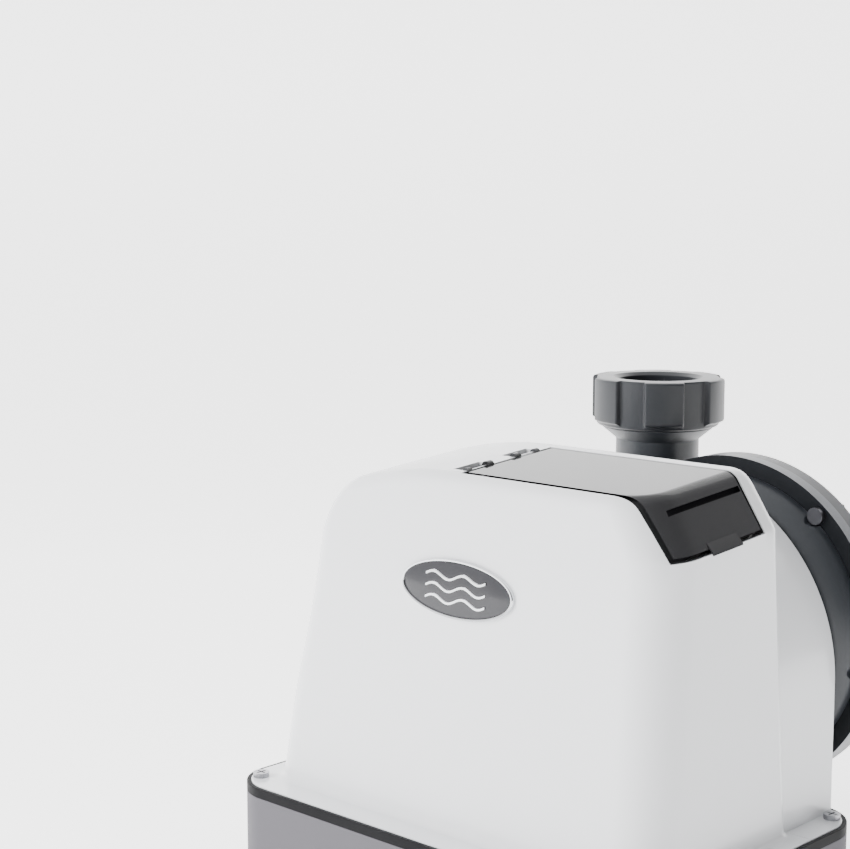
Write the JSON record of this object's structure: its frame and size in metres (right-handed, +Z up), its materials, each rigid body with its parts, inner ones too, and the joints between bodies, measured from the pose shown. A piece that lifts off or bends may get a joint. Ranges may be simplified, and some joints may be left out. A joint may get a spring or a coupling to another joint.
{
  "type": "salt chlorine generator",
  "caption": "Moulded control housing with a flip-up cover and a motor-driven wet end that holds a salt-water electrode cell, on a bolt-down base.",
  "frame": {"origin": "centre of the four bolt-down holes, on the floor under the rubber feet", "axes": "+X along the housing's long side towards the cover, +Y towards the wet end, +Z up"},
  "size_m": [0.287, 0.296, 0.2735],
  "materials": {
    "base_grey": "textured moulding",
    "foot_rubber": "matt",
    "shell_white": "glossy moulding",
    "panel_white": "satin moulding",
    "screw_steel": "bright",
    "badge_black": "glossy",
    "badge_silver": "bright",
    "cover_smoke": "glossy",
    "pin_steel": "bright",
    "deck_plastic": "satin moulding",
    "lens_tint": "clear",
    "display_body": "satin",
    "button_red": "satin",
    "button_grey": "satin",
    "led_green": "clear",
    "board_green": "lacquered",
    "switch_black": "satin",
    "core_iron": "laminated",
    "copper_wire": "enamelled",
    "cap_blue": "sleeved",
    "relay_blue": "glossy",
    "sink_alloy": "extruded",
    "ribbon_grey": "flexible",
    "lead_black": "satin",
    "gland_black": "satin",
    "motor_paint": "baked enamel",
    "bell_alloy": "cast",
    "bearing_steel": "ground",
    "rotor_steel": "laminated",
    "shaft_steel": "ground",
    "fan_black": "satin",
    "cradle_steel": "powder coat",
    "strap_steel": "rolled",
    "plate_plastic": "glass-filled moulding",
    "seal_face": "lapped",
    "impeller_plastic": "moulded",
    "casing_plastic": "glass-filled moulding",
    "oring_rubber": "smooth",
    "bolt_steel": "bright",
    "plug_black": "satin",
    "nut_grey": "satin moulding",
    "electrode_metal": "coated",
    "frame_white": "satin",
    "stud_metal": "plated",
    "paddle_cream": "satin"
  },
  "bodies": {
    "root": {"base_tray": "base_grey", "rubber_feet": "foot_rubber", "rim_seal": "oring_rubber", "housing_shell": "shell_white", "rear_collar": "shell_white", "rear_panel": "panel_white", "housing_screws": "screw_steel", "badge": "badge_black", "badge_trim": "badge_silver", "cover_hinge_pins": "pin_steel", "control_panel": "deck_plastic", "display_lens": "lens_tint", "display_module": "display_body", "status_leds": "led_green", "control_board": "board_green", "tact_switches": "switch_black", "power_board": "board_green", "transformer_core": "core_iron", "transformer_coil": "copper_wire", "filter_capacitors": "cap_blue", "relays": "relay_blue", "heat_sink": "sink_alloy", "panel_ribbon": "ribbon_grey", "cell_leads": "lead_black", "cord_gland": "gland_black", "motor_can": "motor_paint", "stator_core": "core_iron", "stator_windings": "copper_wire", "drive_end_bell": "bell_alloy", "fan_end_bell": "bell_alloy", "motor_bearings": "bearing_steel", "fan_cowl": "fan_black", "motor_cradle": "cradle_steel", "motor_strap": "strap_steel", "motor_bolts": "bolt_steel", "seal_plate": "plate_plastic", "shaft_seal": "seal_face", "pump_casing": "casing_plastic", "casing_oring": "oring_rubber", "casing_bolts": "bolt_steel", "port_seals": "oring_rubber", "electrode_plates": "electrode_metal", "electrode_frame": "frame_white", "cell_cap": "plug_black", "cell_studs": "stud_metal", "flow_sensor": "gland_black"},
    "cover": {"flip_cover": "cover_smoke"},
    "power_key": {"power_button": "button_red"},
    "timer_key": {"timer_button": "button_grey"},
    "boost_key": {"boost_button": "button_grey"},
    "lock_key": {"lock_button": "button_grey"},
    "rotor": {"rotor_core": "rotor_steel", "motor_shaft": "shaft_steel", "cooling_fan": "fan_black", "impeller": "impeller_plastic"},
    "outlet_union": {"outlet_nut": "nut_grey"},
    "suction_union": {"suction_nut": "nut_grey"},
    "drain": {"drain_plug": "plug_black"},
    "paddle": {"flow_paddle": "paddle_cream"}
  },
  "joints": [
    {"name": "cover_hinge", "type": "hinge", "parent": "root", "child": "cover", "pos_m": [-0.0045, -0.05691, 0.2428], "axis": [0, -0.997, -0.0778], "range_deg": [0, 105]},
    {"name": "power_press", "type": "slide", "parent": "root", "child": "power_key", "axis": [0, 0.0778, -0.997], "range_m": [0, 0.0012], "stiffness_N_per_m": 400, "springref_m": -0.0004},
    {"name": "timer_press", "type": "slide", "parent": "root", "child": "timer_key", "axis": [0, 0.0778, -0.997], "range_m": [0, 0.0012], "stiffness_N_per_m": 400, "springref_m": -0.0004},
    {"name": "boost_press", "type": "slide", "parent": "root", "child": "boost_key", "axis": [0, 0.0778, -0.997], "range_m": [0, 0.0012], "stiffness_N_per_m": 400, "springref_m": -0.0004},
    {"name": "lock_press", "type": "slide", "parent": "root", "child": "lock_key", "axis": [0, 0.0778, -0.997], "range_m": [0, 0.0012], "stiffness_N_per_m": 400, "springref_m": -0.0004},
    {"name": "rotor_spin", "type": "hinge", "parent": "root", "child": "rotor", "pos_m": [0.049, 0, 0.149], "axis": [0, 1, 0], "continuous": true},
    {"name": "outlet_nut_turn", "type": "hinge", "parent": "root", "child": "outlet_union", "pos_m": [-0.037, 0.153, 0.259], "axis": [0, 0, 1], "continuous": true},
    {"name": "suction_nut_turn", "type": "hinge", "parent": "root", "child": "suction_union", "pos_m": [0.049, 0.188, 0.149], "axis": [0, 1, 0], "continuous": true},
    {"name": "drain_plug_turn", "type": "hinge", "parent": "root", "child": "drain", "pos_m": [0.049, 0.132, 0.065], "axis": [0, 0, 1], "continuous": true},
    {"name": "paddle_swing", "type": "hinge", "parent": "root", "child": "paddle", "pos_m": [-0.037, 0.168, 0.209], "axis": [-1, 0, 0], "range_deg": [0, 50]}
  ]
}
